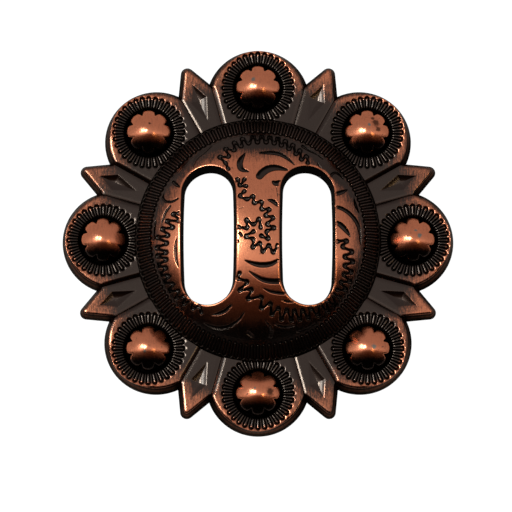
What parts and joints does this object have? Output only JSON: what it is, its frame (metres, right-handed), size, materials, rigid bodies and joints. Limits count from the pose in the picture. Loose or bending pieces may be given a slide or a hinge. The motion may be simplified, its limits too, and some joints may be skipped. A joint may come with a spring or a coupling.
{
  "type": "slotted concho",
  "caption": "Domed slotted concho with round reeded petals, berry bosses and pointed leaves; threads onto a strap or lace through its slots.",
  "frame": {"origin": "centre of the flat back face, in the plane that lies on the leather", "axes": "+Z out of the face towards the dome's crown, slots long along Y, one petal on each of +X, -X, +Y and -Y"},
  "size_m": [0.038, 0.038, 0.0074],
  "materials": {
    "antique_copper": "antique copper plate, blackened in the recesses and rubbed bright on the high spots"
  },
  "bodies": {
    "root": {"concho_casting": "antique_copper"}
  },
  "joints": []
}
